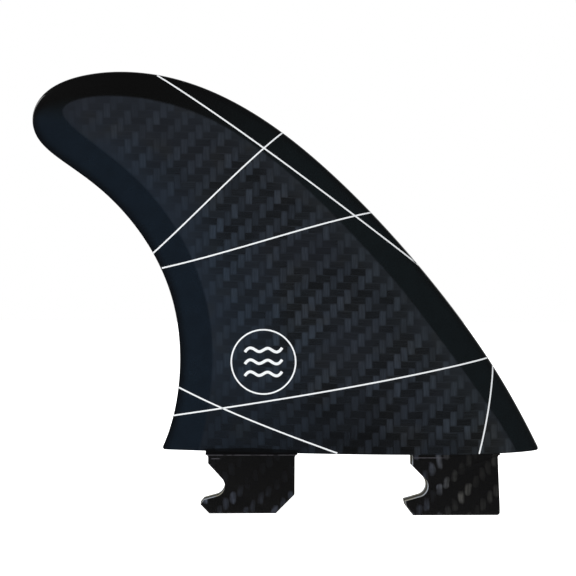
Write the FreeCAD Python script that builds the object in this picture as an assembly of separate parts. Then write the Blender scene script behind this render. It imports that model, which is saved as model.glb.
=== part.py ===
"""Surfboard side fin, one moulded laminate: a foiled, swept blade on two hooked base tabs.

Frame, in millimetres: the fin stands on the board line, z = 0, which runs between the two
corners of the blade's base. +Z goes up the blade, +X goes forward to the leading edge, and
the foiled outer face looks along -Y. y = 0 is the middle of the tabs' thickness, and x = 0
is the middle of the base.
"""

import FreeCAD, Part
import math
import os

Vec = FreeCAD.Vector

# Blade, side view
BASE_LENGTH = 116.1
DEPTH = 114.7
SWEEP = 40.0
BASE_BOW = 0.95
BASE_BOW_FORWARD = 20.0
CORNER_RADIUS = 0.8

# Poles of the outline curve, from the front base corner over the tip to the rear one.
# Each is a share of the base length, counted forward along the swept axis, and of the depth.
OUTLINE_POLES = [
    (1.000, 0.000),
    (0.983, 0.143),
    (0.896, 0.434),
    (0.624, 0.874),
    (0.327, 1.027),
    (0.003, 0.977),
    (-0.087, 0.802),
    (0.093, 0.710),
    (0.214, 0.405),
    (0.083, 0.102),
    (0.000, 0.000),
]

# Blade, sections: flat inner face, foiled outer face
ROOT_THICKNESS = 7.2
TIP_THICKNESS = 2.0
LEADING_EDGE_THICKNESS = 0.2
TRAILING_EDGE_THICKNESS = 0.9
FOIL_POWER_FRONT = 0.5
FOIL_POWER_REAR = 1.0
INNER_FACE_PROUD = 0.3

# Tabs that plug into the board's fin box. A throat is where a tab's straight rear side turns into
# its notch, as a share of the wall between the flare at its root and the middle of the hook.
TAB_THICKNESS = 6.3
HOOK_PITCH = 61.45
REAR_HOOK_X = -42.05
REAR_TAB_LENGTH = 26.05
REAR_TAB_DEPTH = 18.55
REAR_HOOK_ABOVE_END = 8.3
REAR_HOOK_SET_IN = 1.8
REAR_THROAT_SHARE = 0.2059
REAR_LIP_REACH = 2.95
REAR_LIP_TIP_BACK = 4.0
REAR_LIP_TIP_DROP = 5.55
REAR_TAB_CHAMFER = 5.6
FRONT_TAB_LENGTH = 25.9
FRONT_TAB_DEPTH = 19.3
FRONT_HOOK_ABOVE_END = 8.75
FRONT_HOOK_SET_IN = 1.5
FRONT_THROAT_SHARE = 0.3011
FRONT_LIP_REACH = 3.75
FRONT_LIP_TIP_BACK = 3.25
FRONT_LIP_TIP_DROP = 6.2
FRONT_TAB_RAKE_DEG = 2.6
FRONT_TAB_TOE_RADIUS = 0.9

# Hook notch, which a sprung bar in the fin box snaps into. Its seat is the same on both tabs.
HOOK_RADIUS = 3.25
LIP_SLOPE_DEG = 15.5
LIP_FOOT_BACK = 1.3

# Where the tabs grow out of the blade
ROOT_FLARE = 0.8
SHOULDER_DROP = 0.95
SHOULDER_RISE = 1.4
TAB_EDGE_RADIUS = 0.35
SHOULDER_SINK = 0.3
SHOULDER_STATIONS = 6

# How the foiled skin is laid out: on section lines from the leading edge to the trailing edge,
# up to LAST_SECTION_SHARE of both edges' length, then straight on past the tip. The lines' ends lie
# EDGE_MARGIN outside the outline, which cuts the skin and leaves a thin blunt edge all round.
SECTION_SHARES = (0.0, 0.004, 0.015, 0.04, 0.08, 0.14, 0.22, 0.32, 0.45, 0.6, 0.75, 0.9, 1.0)
SECTION_COUNT = 11
LAST_SECTION_SHARE = 0.9
EDGE_MARGIN = 0.5
OVERRUN_SHARE = 0.05
OVERRUN_RISE = 2.0
TIP_EDGE_SHARE = 0.5
BELOW_BASE = 4.0

inner_y = TAB_THICKNESS / 2 + INNER_FACE_PROUD
rear_corner_x = -BASE_LENGTH / 2
front_corner_x = BASE_LENGTH / 2


def outline_curve():
    """The blade's edge as one smooth curve, from the front base corner over the tip."""
    poles = []
    for along, up in OUTLINE_POLES:
        x = rear_corner_x + along * BASE_LENGTH - SWEEP * up
        poles.append(Vec(x, 0, up * DEPTH))
    curve = Part.BSplineCurve()
    curve.buildFromPoles(poles, False, 3)
    return curve


edge_curve = outline_curve()


def tip_parameter():
    """Where the outline reaches furthest back: the tip, which parts the leading edge from the trailing edge."""
    first = edge_curve.FirstParameter
    span = edge_curve.LastParameter - first
    steps = [first + span * i / 400 for i in range(401)]
    return min(steps, key=lambda u: edge_curve.value(u).x)


tip_u = tip_parameter()
leading_length = edge_curve.length(edge_curve.FirstParameter, tip_u)
trailing_length = edge_curve.length(tip_u, edge_curve.LastParameter)


def chord_ends(span_share):
    """Leading and trailing ends of the section line at this share of each edge's length."""
    front_u = edge_curve.parameterAtDistance(leading_length * span_share, edge_curve.FirstParameter)
    rear_u = edge_curve.parameterAtDistance(-trailing_length * span_share, edge_curve.LastParameter)
    return edge_curve.value(front_u), edge_curve.value(rear_u)


def foil_share(chord_share):
    """Fullness of the foil along its chord: round nose, fullest a third back, fine tail."""
    fullest = FOIL_POWER_FRONT / (FOIL_POWER_FRONT + FOIL_POWER_REAR)
    peak = fullest**FOIL_POWER_FRONT * (1 - fullest) ** FOIL_POWER_REAR
    inside = min(max(chord_share, 0.0), 1.0)
    return inside**FOIL_POWER_FRONT * (1 - inside) ** FOIL_POWER_REAR / peak


def blade_thickness(chord_share, span_share):
    """Thickness of the blade at a place given as shares of its chord and its span."""
    edge = LEADING_EDGE_THICKNESS + (TRAILING_EDGE_THICKNESS - LEADING_EDGE_THICKNESS) * chord_share
    full = ROOT_THICKNESS + (TIP_THICKNESS - ROOT_THICKNESS) * span_share
    return edge + (full - edge) * foil_share(chord_share)


def section_wire(front, rear, span_share, shift=Vec(0, 0, 0), fullness=1.0):
    """One foiled section line. Its nose and tail lie a margin outside the edges, and it runs on past both."""
    chord = rear - front
    along = Vec(chord)
    along.normalize()
    nose = front - along * EDGE_MARGIN + shift
    line = chord + along * (2 * EDGE_MARGIN)
    points = [nose - line * OVERRUN_SHARE + Vec(0, inner_y + OVERRUN_RISE, 0)]
    for share in SECTION_SHARES:
        depth = blade_thickness(share, span_share) * fullness
        points.append(nose + line * share + Vec(0, inner_y - depth, 0))
    points.append(nose + line * (1 + OVERRUN_SHARE) + Vec(0, inner_y - depth, 0))
    curve = Part.BSplineCurve()
    shares = [-OVERRUN_SHARE] + list(SECTION_SHARES) + [1 + OVERRUN_SHARE]
    curve.interpolate(Points=points, Parameters=shares)
    return Part.Wire([curve.toShape()])


def foil_body():
    """Everything on the inner side of the foiled face, wider than the blade on all sides."""
    front, rear = chord_ends(0.0)
    wires = [section_wire(front, rear, 0.0, Vec(0, 0, -BELOW_BASE))]
    for i in range(SECTION_COUNT):
        share = LAST_SECTION_SHARE * i / (SECTION_COUNT - 1)
        front, rear = chord_ends(share)
        wires.append(section_wire(front, rear, share))
    to_tip = edge_curve.value(tip_u) - (front + rear) * 0.5
    for steps in (1, 2):
        fullness = 1 - (1 - TIP_EDGE_SHARE) * steps
        wires.append(section_wire(front, rear, LAST_SECTION_SHARE, to_tip * steps, fullness))
    face = Part.makeLoft(wires, False, False)
    return face.extrude(Vec(0, 4 * ROOT_THICKNESS, 0))


def blade_plate():
    """The side view of the blade as a plate, with the gentle bow of its base."""
    front = edge_curve.StartPoint
    rear = edge_curve.EndPoint
    bow = Part.BezierCurve()
    bow.setPoles([rear, Vec(2 * BASE_BOW_FORWARD, 0, -2 * BASE_BOW), front])
    leading = edge_curve.toShape(edge_curve.FirstParameter, tip_u)
    trailing = edge_curve.toShape(tip_u, edge_curve.LastParameter)
    face = Part.Face(Part.Wire([leading, trailing, bow.toShape()]))
    face.translate(Vec(0, inner_y, 0))
    plate = face.extrude(Vec(0, -2 * ROOT_THICKNESS, 0))
    corners = []
    for edge in plate.Edges:
        middle = edge.CenterOfMass
        at_an_end = abs(middle.x - front.x) < 0.001 or abs(middle.x - rear.x) < 0.001
        if at_an_end and edge.Length > ROOT_THICKNESS:
            corners.append(edge)
    return plate.makeFillet(CORNER_RADIUS, corners)


def tangent_from(point, centre, radius):
    """Where the line from point, past the front of the round, touches it."""
    toward = centre - point
    distance = toward.Length
    heading = math.atan2(toward.z, toward.x) + math.asin(radius / distance)
    reach = math.sqrt(distance**2 - radius**2)
    return point + Vec(math.cos(heading), 0, math.sin(heading)) * reach


def hook_edges(throat, hook, lip):
    """Notch under the throat: a slope down, the round seat, the lip's upper side and its blunt tip."""
    lip_reach, lip_tip_back, lip_tip_drop = lip
    slope = math.radians(LIP_SLOPE_DEG)
    seat_start = tangent_from(throat, hook, HOOK_RADIUS)
    seat_end = hook + Vec(math.sin(slope), 0, -math.cos(slope)) * HOOK_RADIUS
    seat_front = hook + Vec(HOOK_RADIUS, 0, 0)
    along = (lip_reach + HOOK_RADIUS * math.sin(slope)) / math.cos(slope)
    lip_end = seat_end + Vec(-math.cos(slope), 0, -math.sin(slope)) * along
    lip_tip = hook + Vec(-lip_tip_back, 0, -lip_tip_drop)
    edges = [
        Part.LineSegment(throat, seat_start).toShape(),
        Part.Arc(seat_start, seat_front, seat_end).toShape(),
        Part.LineSegment(seat_end, lip_end).toShape(),
        Part.LineSegment(lip_end, lip_tip).toShape(),
    ]
    return edges, lip_tip


def flare_edge(side_x, outward):
    """Small hollow round between a tab's side and the blade's base."""
    low = Vec(side_x, 0, -SHOULDER_DROP - ROOT_FLARE)
    high = Vec(side_x + outward * ROOT_FLARE, 0, -SHOULDER_DROP)
    turn = ROOT_FLARE * (1 - math.sqrt(0.5))
    middle = Vec(side_x + outward * turn, 0, -SHOULDER_DROP - turn)
    return low, high, Part.Arc(low, middle, high).toShape()


def tab_body(hook, side_x, depth, throat_share, lip, far_edges, far_top):
    """A tab's side view, drawn round from the base, given its thickness and eased at its lower end."""
    back_low, back_high, back_flare = flare_edge(side_x, -1)
    throat = Vec(side_x, 0, back_low.z + (hook.z - back_low.z) * throat_share)
    edges, lip_tip = hook_edges(throat, hook, lip)
    foot = Vec(hook.x - LIP_FOOT_BACK, 0, -depth)
    edges = [back_flare, Part.LineSegment(back_low, throat).toShape()] + edges
    edges.append(Part.LineSegment(lip_tip, foot).toShape())
    edges = edges + far_edges(foot)
    edges.append(Part.LineSegment(far_top, back_high).toShape())
    face = Part.Face(Part.Wire(edges))
    face.translate(Vec(0, TAB_THICKNESS / 2, 0))
    tab = face.extrude(Vec(0, -TAB_THICKNESS, 0))
    eased = []
    for edge in tab.Edges:
        on_a_face = abs(abs(edge.CenterOfMass.y) - TAB_THICKNESS / 2) < 0.001
        reaches_end = min(vertex.Z for vertex in edge.Vertexes) < 0.001 - depth
        if on_a_face and reaches_end:
            eased.append(edge)
    return tab.makeFillet(TAB_EDGE_RADIUS, eased)


def rear_tab():
    """Rear tab, with the cut-off corner at the lower front."""
    hook = Vec(REAR_HOOK_X, 0, REAR_HOOK_ABOVE_END - REAR_TAB_DEPTH)
    side_x = hook.x - REAR_HOOK_SET_IN
    far_x = side_x + REAR_TAB_LENGTH
    low, high, flare = flare_edge(far_x, 1)

    def far_edges(foot):
        cut_start = Vec(far_x - REAR_TAB_CHAMFER, 0, -REAR_TAB_DEPTH)
        cut_end = Vec(far_x, 0, -REAR_TAB_DEPTH + REAR_TAB_CHAMFER)
        return [
            Part.LineSegment(foot, cut_start).toShape(),
            Part.LineSegment(cut_start, cut_end).toShape(),
            Part.LineSegment(cut_end, low).toShape(),
            flare,
        ]

    lip = (REAR_LIP_REACH, REAR_LIP_TIP_BACK, REAR_LIP_TIP_DROP)
    tab = tab_body(hook, side_x, REAR_TAB_DEPTH, REAR_THROAT_SHARE, lip, far_edges, high)
    return tab, side_x, far_x


def front_tab():
    """Front tab, with a slightly raked front side and a round toe."""
    hook = Vec(REAR_HOOK_X + HOOK_PITCH, 0, FRONT_HOOK_ABOVE_END - FRONT_TAB_DEPTH)
    side_x = hook.x - FRONT_HOOK_SET_IN
    far_x = side_x + FRONT_TAB_LENGTH
    low, high, flare = flare_edge(far_x, 1)
    rake = math.radians(FRONT_TAB_RAKE_DEG)
    fall = FRONT_TAB_DEPTH + low.z
    toe = Vec(far_x + fall * math.tan(rake), 0, -FRONT_TAB_DEPTH)
    corner = math.pi / 2 - rake
    setback = FRONT_TAB_TOE_RADIUS / math.tan(corner / 2)
    toe_start = toe - Vec(setback, 0, 0)
    toe_end = toe + Vec(-math.sin(rake), 0, math.cos(rake)) * setback
    toe_centre = toe_start + Vec(0, 0, FRONT_TAB_TOE_RADIUS)
    outward = toe - toe_centre
    outward.normalize()
    toe_middle = toe_centre + outward * FRONT_TAB_TOE_RADIUS

    def far_edges(foot):
        return [
            Part.LineSegment(foot, toe_start).toShape(),
            Part.Arc(toe_start, toe_middle, toe_end).toShape(),
            Part.LineSegment(toe_end, low).toShape(),
            flare,
        ]

    lip = (FRONT_LIP_REACH, FRONT_LIP_TIP_BACK, FRONT_LIP_TIP_DROP)
    tab = tab_body(hook, side_x, FRONT_TAB_DEPTH, FRONT_THROAT_SHARE, lip, far_edges, high)
    return tab, side_x, far_x


def shoulder(side_x, far_x):
    """Hollow shoulder over a tab, which runs its outer face up into the thinner blade."""
    start_x = side_x - ROOT_FLARE
    end_x = far_x + ROOT_FLARE
    face_y = -TAB_THICKNESS / 2
    low_z = -SHOULDER_DROP
    high_z = low_z + SHOULDER_RISE
    wires = []
    for i in range(SHOULDER_STATIONS):
        x = start_x + (end_x - start_x) * i / (SHOULDER_STATIONS - 1)
        chord_share = (front_corner_x + EDGE_MARGIN - x) / (BASE_LENGTH + 2 * EDGE_MARGIN)
        skin_y = inner_y - blade_thickness(chord_share, 0.0)
        in_y = max(skin_y, face_y) + SHOULDER_SINK
        low = Vec(x, face_y, low_z)
        high = Vec(x, in_y, high_z)
        hollow = Part.BezierCurve()
        hollow.setPoles([low, Vec(x, in_y, low_z), high])
        back_high = Vec(x, TAB_THICKNESS / 2, high_z)
        back_low = Vec(x, TAB_THICKNESS / 2, low_z)
        edges = [
            hollow.toShape(),
            Part.LineSegment(high, back_high).toShape(),
            Part.LineSegment(back_high, back_low).toShape(),
            Part.LineSegment(back_low, low).toShape(),
        ]
        wires.append(Part.Wire(edges))
    return Part.makeLoft(wires, True, False)


def main():
    blade = blade_plate().common(foil_body())
    pieces = []
    for tab, side_x, far_x in (rear_tab(), front_tab()):
        pieces.append(tab)
        pieces.append(shoulder(side_x, far_x))
    fin = blade.fuse(pieces).removeSplitter()
    solids = fin.Solids
    print("solids", len(solids), "valid", fin.isValid(), "volume mm3", round(fin.Volume, 1))
    print("faces", len(fin.Faces))
    box = fin.optimalBoundingBox()
    print("size mm", round(box.XLength, 2), round(box.YLength, 2), round(box.ZLength, 2))
    print("lowest corner", round(box.XMin, 2), round(box.YMin, 2), round(box.ZMin, 2))
    os.makedirs("parts", exist_ok=True)
    solids[0].exportStep("parts/fin.step")


main()
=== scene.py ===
# %% [markdown]
# # Surfboard side fin, woven carbon laminate
# The fin is one moulded piece: a foiled, swept blade with two hooked tabs that plug into a
# board's fin box. The blade's outer face is rounded like a wing, its inner face is flat. In the
# middle of the blade the carbon cloth shows through clear resin; around it runs a plainer dark
# border. Six fine white lines cross the blade, and a small round mark sits low at the rear.

import math

import bmesh
import bpy
from mathutils import Matrix, Vector
from mathutils.bvhtree import BVHTree
from mathutils.kdtree import KDTree


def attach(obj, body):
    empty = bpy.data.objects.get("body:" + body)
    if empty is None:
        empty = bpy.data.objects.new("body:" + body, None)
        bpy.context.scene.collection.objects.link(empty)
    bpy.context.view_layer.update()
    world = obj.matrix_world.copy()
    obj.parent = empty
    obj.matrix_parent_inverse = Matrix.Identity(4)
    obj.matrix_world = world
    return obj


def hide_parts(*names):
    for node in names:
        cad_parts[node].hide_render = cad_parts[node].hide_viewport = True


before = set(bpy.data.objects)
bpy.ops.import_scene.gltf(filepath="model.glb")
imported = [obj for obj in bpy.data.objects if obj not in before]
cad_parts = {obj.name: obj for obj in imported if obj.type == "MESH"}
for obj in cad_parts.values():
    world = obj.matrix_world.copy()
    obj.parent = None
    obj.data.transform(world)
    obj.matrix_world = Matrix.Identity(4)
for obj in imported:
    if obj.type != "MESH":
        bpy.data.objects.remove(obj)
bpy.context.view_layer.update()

# %% [markdown]
# All lengths below are in millimetres, in the frame of the part: z = 0 is the board line, +X
# goes forward to the leading edge, and the rounded outer face looks along -Y. Each mesh is
# drawn in millimetres and scaled to metres when it is finished. The base of the blade bows
# down a little, lowest forward of its middle, and the blade's flat inner face lies a little
# beyond the tabs' faces.

# %% Sizes and colours
MM = 0.001
BASE_LENGTH = 116.1
DEPTH = 114.7
SWEEP = 40.0
BASE_BOW = 0.95
BASE_BOW_FORWARD = 20.0
CORNER_RADIUS = 0.8
INNER_Y = 3.45
TAB_FACE_Y = 3.15
SAME_PLACE = 0.001


def linear(hex_colour):
    """An sRGB colour written as six hex digits, as linear values with full cover."""
    values = []
    for start in (0, 2, 4):
        share = int(hex_colour[start : start + 2], 16) / 255
        values.append(share / 12.92 if share <= 0.04045 else ((share + 0.055) / 1.055) ** 2.4)
    return (*values, 1.0)


print("base", BASE_LENGTH, "mm, depth", DEPTH, "mm")

# %% [markdown]
# ## Materials
# Each material is a small set of nodes. One helper adds a node, sets it and links it, so a
# line of code reads as one node. The editor could do the same by hand, but here each value has
# a name.

# %% Node helper
COLOUR_MIX = {"out": "Result", "data_type": "RGBA"}


def node_adder(tree):
    """A function that adds nodes to this tree and hands back one output of the new node."""

    def add(kind, inputs=None, out=0, **settings):
        """Adds a node, sets it, and gives each input a plain value or a link from an output."""
        node = tree.nodes.new(kind)
        for key, value in settings.items():
            setattr(node, key, value)
        for key, value in (inputs or {}).items():
            if isinstance(value, bpy.types.NodeSocket):
                tree.links.new(value, node.inputs[key])
            else:
                node.inputs[key].default_value = value
        return node.outputs[out]

    return add


def new_material(name, **constants):
    """A material with a Principled shader set to these constants, and its node adder."""
    material = bpy.data.materials.new(name)
    material.use_nodes = True
    tree = material.node_tree
    shader = tree.nodes["Principled BSDF"]
    for key, value in constants.items():
        shader.inputs[key.replace("_", " ")].default_value = value
    return material, shader, tree, node_adder(tree)


print("node helper ready")

# %% [markdown]
# The blade's skin is carbon cloth in clear epoxy, polished to a high gloss. The cloth is a 2x2
# twill: each tow, a flat bundle of fibres about 2 mm wide, passes over two tows and under two,
# one step further along in each row, so the floats climb in diagonals. Tows that run up the
# fin catch more light than tows that lie along it, and this sheen is painted into their colour.
# The pattern could be painted on an image, but worked out from the place in mm it keeps the
# real tow width and stays sharp.

# %% Twill pattern
TOW = 2.15
TWILL_REPEAT = 4.0
TWILL_START = (-1.56, 0.0, -0.65)
FIBRES_IN_TOW = 7.0
WANDER_SIZE = 14.3


def twill(add, wander):
    """Twill of flat tows in the plane of the blade, as a named value for each thing it shows.

    upright is 1 where a tow that runs up lies on top, and 0 where a lying tow does. side is how
    far a place is from the middle of the top tow, and length from the middle of its float, both
    0 to 1. random is a value for each float, and streaks are fine fibres along the tow. place is
    in mm. The tows wander about this far, in mm, from straight lines.
    """
    place = add("ShaderNodeTexCoord", out="Object")
    place = add("ShaderNodeVectorMath", {0: place, "Scale": 1 / MM}, operation="SCALE")
    drift = {"Vector": place, "Scale": 1 / WANDER_SIZE, "Detail": 1.0}
    drift = add("ShaderNodeTexNoise", drift, out="Color")
    drift = add("ShaderNodeVectorMath", {0: drift, 1: (0.5, 0.5, 0.5)}, operation="SUBTRACT")
    # The noise stays within a quarter of its middle, so four times as much gives the wander.
    drift = add("ShaderNodeVectorMath", {0: drift, "Scale": wander * 4}, operation="SCALE")
    place = add("ShaderNodeVectorMath", {0: place, 1: drift}, operation="ADD")
    tows = add("ShaderNodeVectorMath", {0: place, "Scale": 1 / TOW}, operation="SCALE")
    tows = add("ShaderNodeVectorMath", {0: tows, 1: TWILL_START}, operation="ADD")
    whole = add("ShaderNodeVectorMath", {0: tows}, operation="FLOOR")
    across = add("ShaderNodeVectorMath", {0: tows}, operation="FRACTION")
    column = add("ShaderNodeSeparateXYZ", {0: whole}, out="X")
    row = add("ShaderNodeSeparateXYZ", {0: whole}, out="Z")
    # Two of the four steps in a repeat show the upright tow.
    step = add("ShaderNodeMath", {0: column, 1: row}, operation="SUBTRACT")
    phase = add("ShaderNodeMath", {0: step, 1: TWILL_REPEAT}, operation="FLOORED_MODULO")
    upright = add("ShaderNodeMath", {0: phase, 1: 1.5}, operation="LESS_THAN")

    # One name for each float: the tow it belongs to, and how many repeats along that tow. The
    # last number keeps the names of upright and lying floats apart.
    back = add("ShaderNodeMath", {0: row, 1: column}, operation="SUBTRACT")
    back = add("ShaderNodeMath", {0: back, 1: 1.0}, operation="ADD")
    names = []
    for tow, along_tow, kind in ((row, step, 7.5), (column, back, 0.5)):
        repeat = add("ShaderNodeMath", {0: along_tow, 1: 1 / TWILL_REPEAT}, operation="MULTIPLY")
        repeat = add("ShaderNodeMath", {0: repeat}, operation="FLOOR")
        names.append(add("ShaderNodeCombineXYZ", {"X": tow, "Y": repeat, "Z": kind}))
    name = {"Factor": upright, "A": names[0], "B": names[1]}
    name = add("ShaderNodeMix", name, out="Result", data_type="VECTOR")
    random = add("ShaderNodeTexWhiteNoise", {"Vector": name}, noise_dimensions="3D")

    # How far from the middle of the top tow, and from the middle of its float.
    across_x = add("ShaderNodeSeparateXYZ", {0: across}, out="X")
    across_z = add("ShaderNodeSeparateXYZ", {0: across}, out="Z")
    side = add("ShaderNodeMix", {"Factor": upright, "A": across_z, "B": across_x}, out="Result")
    tows_x = add("ShaderNodeSeparateXYZ", {0: tows}, out="X")
    tows_z = add("ShaderNodeSeparateXYZ", {0: tows}, out="Z")
    up_along = add("ShaderNodeMath", {0: tows_z, 1: column}, operation="SUBTRACT")
    up_along = add("ShaderNodeMath", {0: up_along, 1: 1.0}, operation="ADD")
    lying_along = add("ShaderNodeMath", {0: tows_x, 1: row}, operation="SUBTRACT")
    lying_along = add("ShaderNodeMath", {0: lying_along, 1: 2.0}, operation="SUBTRACT")
    length = add("ShaderNodeMix", {"Factor": upright, "A": lying_along, "B": up_along}, out="Result")
    length = add("ShaderNodeMath", {0: length, 1: TWILL_REPEAT}, operation="FLOORED_MODULO")
    length = add("ShaderNodeMath", {0: length, 1: 2 / TWILL_REPEAT}, operation="MULTIPLY")
    from_middle = []
    for share in (side, length):
        share = add("ShaderNodeMapRange", {"Value": share, "To Min": -1.0, "To Max": 1.0})
        from_middle.append(add("ShaderNodeMath", {0: share}, operation="ABSOLUTE"))

    # Fibre streaks are long along the top tow and fine across it.
    stretched = []
    for stretch in ((0.5, 1.0, FIBRES_IN_TOW), (FIBRES_IN_TOW, 1.0, 0.5)):
        stretched.append(add("ShaderNodeVectorMath", {0: tows, 1: stretch}, operation="MULTIPLY"))
    fibres = {"Factor": upright, "A": stretched[0], "B": stretched[1]}
    fibres = add("ShaderNodeMix", fibres, out="Result", data_type="VECTOR")
    streaks = add("ShaderNodeTexNoise", {"Vector": fibres, "Scale": 1.0, "Detail": 3.0})
    return {
        "upright": upright,
        "side": from_middle[0],
        "length": from_middle[1],
        "random": random,
        "streaks": streaks,
        "place": place,
    }


print("tow width", TOW, "mm, repeat", TWILL_REPEAT * TOW, "mm")

# %% [markdown]
# The weave shows in a large panel in the middle of the blade. The border round it is a dark,
# plain laminate; a painted reflection makes it a little blue toward the trailing edge and
# nearly black over the tip. The blade carries values for this at each of its points: how deep
# it lies inside the panel and inside the outline, in mm, and its shares of the chord and of
# the span.
#
# Under the resin the weave is not the same all over, so a table lists each change: the value
# that it follows, where along that value it starts and ends, and its level at both ends. One
# loop makes a smooth Map Range node of each line. The same could be painted by hand as vertex
# colours, but a table can be read, and its numbers changed, one at a time.

# %% Changes over the blade
BLADE_WANDER = 0.35
BLADE_CLOUDS = {"patches": (22.2, 2.0, 0.0), "warm": (12.5, 2.0, 0.4), "mottle": (4.0, 3.0, 0.0)}
BLADE_LEVELS = {
    # How much of the weave shows: least near the tip and the panel's edge, and patchy all over.
    "patchy weave": ("patches", 0.35, 0.6, 0.6, 1.0),
    "weave by the panel's edge": ("panel_depth", 0.0, 6.0, 0.5, 1.0),
    "weave by the tip": ("span", 0.45, 0.85, 1.0, 0.52),
    "weave by the tail": ("chord", 0.55, 0.85, 1.0, 0.55),
    # A tow that runs up is round: painted shade darkens it at its sides and where it dives under at both
    # ends.
    "upright tow's side": ("side", 0.55, 1.0, 1.08, 0.6),
    "upright tow's end": ("length", 0.72, 1.0, 1.0, 0.75),
    # A lying tow is dark, with a thin light line where two of them meet.
    "lying tow": ("side", 0.78, 1.0, 0.9, 1.55),
    "fibres": ("streaks", 0.3, 0.7, 0.78, 1.22),
    # The panel has a painted blue reflection toward the trailing edge, is warmer in patches,
    # and is paler at the front.
    "painted blue reflection in the panel": ("chord", 0.4, 0.85, 0.0, 1.0),
    "warm patch": ("warm", 0.5, 0.72, 0.0, 0.6),
    "behind the pale front": ("chord", 0.1, 0.3, 0.0, 1.0),
    # It is darker low at the rear and just over the base.
    "low": ("height", 2.0, 34.0, 1.0, 0.0),
    "rear": ("chord", 0.25, 0.5, 0.0, 1.0),
    "over the base": ("height", 2.0, 9.0, 1.0, 0.0),
    "behind the nose": ("chord", 0.1, 0.25, 0.0, 1.0),
    "before the tail": ("chord", 0.6, 0.75, 1.0, 0.0),
    # The border is neutral at the leading edge. A painted reflection makes it blue toward the
    # trailing edge and near black over the tip, and painted shade makes it darkest along the
    # outline itself.
    "painted blue reflection in the border": ("chord", 0.15, 0.8, 0.0, 1.0),
    "high": ("span", 0.5, 0.8, 0.0, 1.0),
    "front": ("chord", 0.25, 0.6, 1.0, 0.0),
    # Painted shade: the border darkens within 3 mm of the outline.
    "rim": ("edge_depth", 0.0, 3.0, 0.25, 1.0),
    "mottled border": ("mottle", 0.3, 0.7, 0.92, 1.08),
    "inside the panel": ("panel_depth", -0.45, 0.45, 0.0, 1.0),
    # Painted shade of the hollow darkens the blade a little way up from the base over the rear tab.
    "on the base": ("height", 0.3, 0.7, 1.0, 0.0),
    "before the tab's rear": ("forward", -45.5, -44.5, 0.0, 1.0),
    "behind the tab's front": ("forward", -17.5, -16.0, 1.0, 0.0),
}
BLADE_PRODUCTS = {
    "weave": ("patchy weave", "weave by the panel's edge", "weave by the tip", "weave by the tail"),
    "upright tow": ("upright tow's side", "upright tow's end"),
    "low rear": ("low", "rear"),
    "base": ("over the base", "behind the nose", "before the tail"),
    "over the tip": ("high", "front"),
    "border": ("rim", "mottled border"),
    "painted hollow shade": ("on the base", "before the tab's rear", "behind the tab's front"),
}
DARKEST = {"low rear": 0.62, "base": 0.76, "painted hollow shade": 0.25}
print("changes over the blade:", len(BLADE_LEVELS))

# %% [markdown]
# The gloss is a coat of its own in the shader, as the clear resin is on the real fin, with the
# index of refraction of epoxy. The carbon under it reflects little by itself: the eye sees a
# dark weave at some depth, and sharp reflections over it. Two Principled shaders mixed could
# do the same, but the coat also dims what lies under it, as resin does.

# %% Carbon blade under gloss resin
LYING_TOW = linear("16191c")
SHEENED_UPRIGHT_TOW = linear("262b31")
TOW_CHANCE = (0.68, 1.28)
VEILED_WEAVE = linear("1f2329")
PANEL_FRONT_TINT = (0.98, 1.0, 1.07)
BLUE_REFLECTION_TINT = (0.9, 1.1, 1.3)
WARM_TINT = (1.2, 1.05, 0.88)
PALE_FRONT_TINT = (1.2, 1.2, 1.1)
FRONT_BORDER = linear("0c1316")
BLUE_REFLECTION_BORDER = linear("0d1721")
DARK_REFLECTION_TIP_BORDER = linear("040404")


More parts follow.
